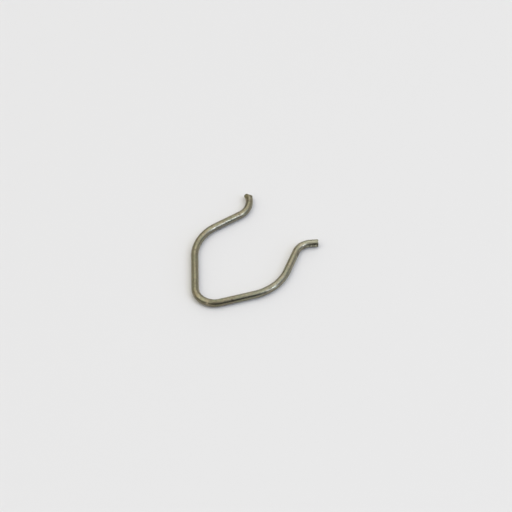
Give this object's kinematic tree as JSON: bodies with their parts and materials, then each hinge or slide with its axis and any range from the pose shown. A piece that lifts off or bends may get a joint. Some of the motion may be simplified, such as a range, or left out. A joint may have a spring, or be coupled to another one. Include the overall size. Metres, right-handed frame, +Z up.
{
  "type": "wire spring clip",
  "caption": "Flat spring clip bent from round steel wire, with a rounded nose, shoulders that wrap a round neck, and flared tips at its mouth.",
  "frame": {"origin": "on the axis of the round neck that the shoulders grip, in the plane that the clip lies on", "axes": "+Z up through the flat clip, +Y from the nose towards the open mouth, +X towards the right leg"},
  "size_m": [0.0274, 0.0374, 0.002],
  "materials": {
    "spring_wire": "drawn spring wire with a dull olive-grey passivated surface, fine draw lines, jaw marks on the right tip, a few nicks and specks of rust"
  },
  "bodies": {
    "root": {"spring_clip": "spring_wire"}
  },
  "joints": []
}
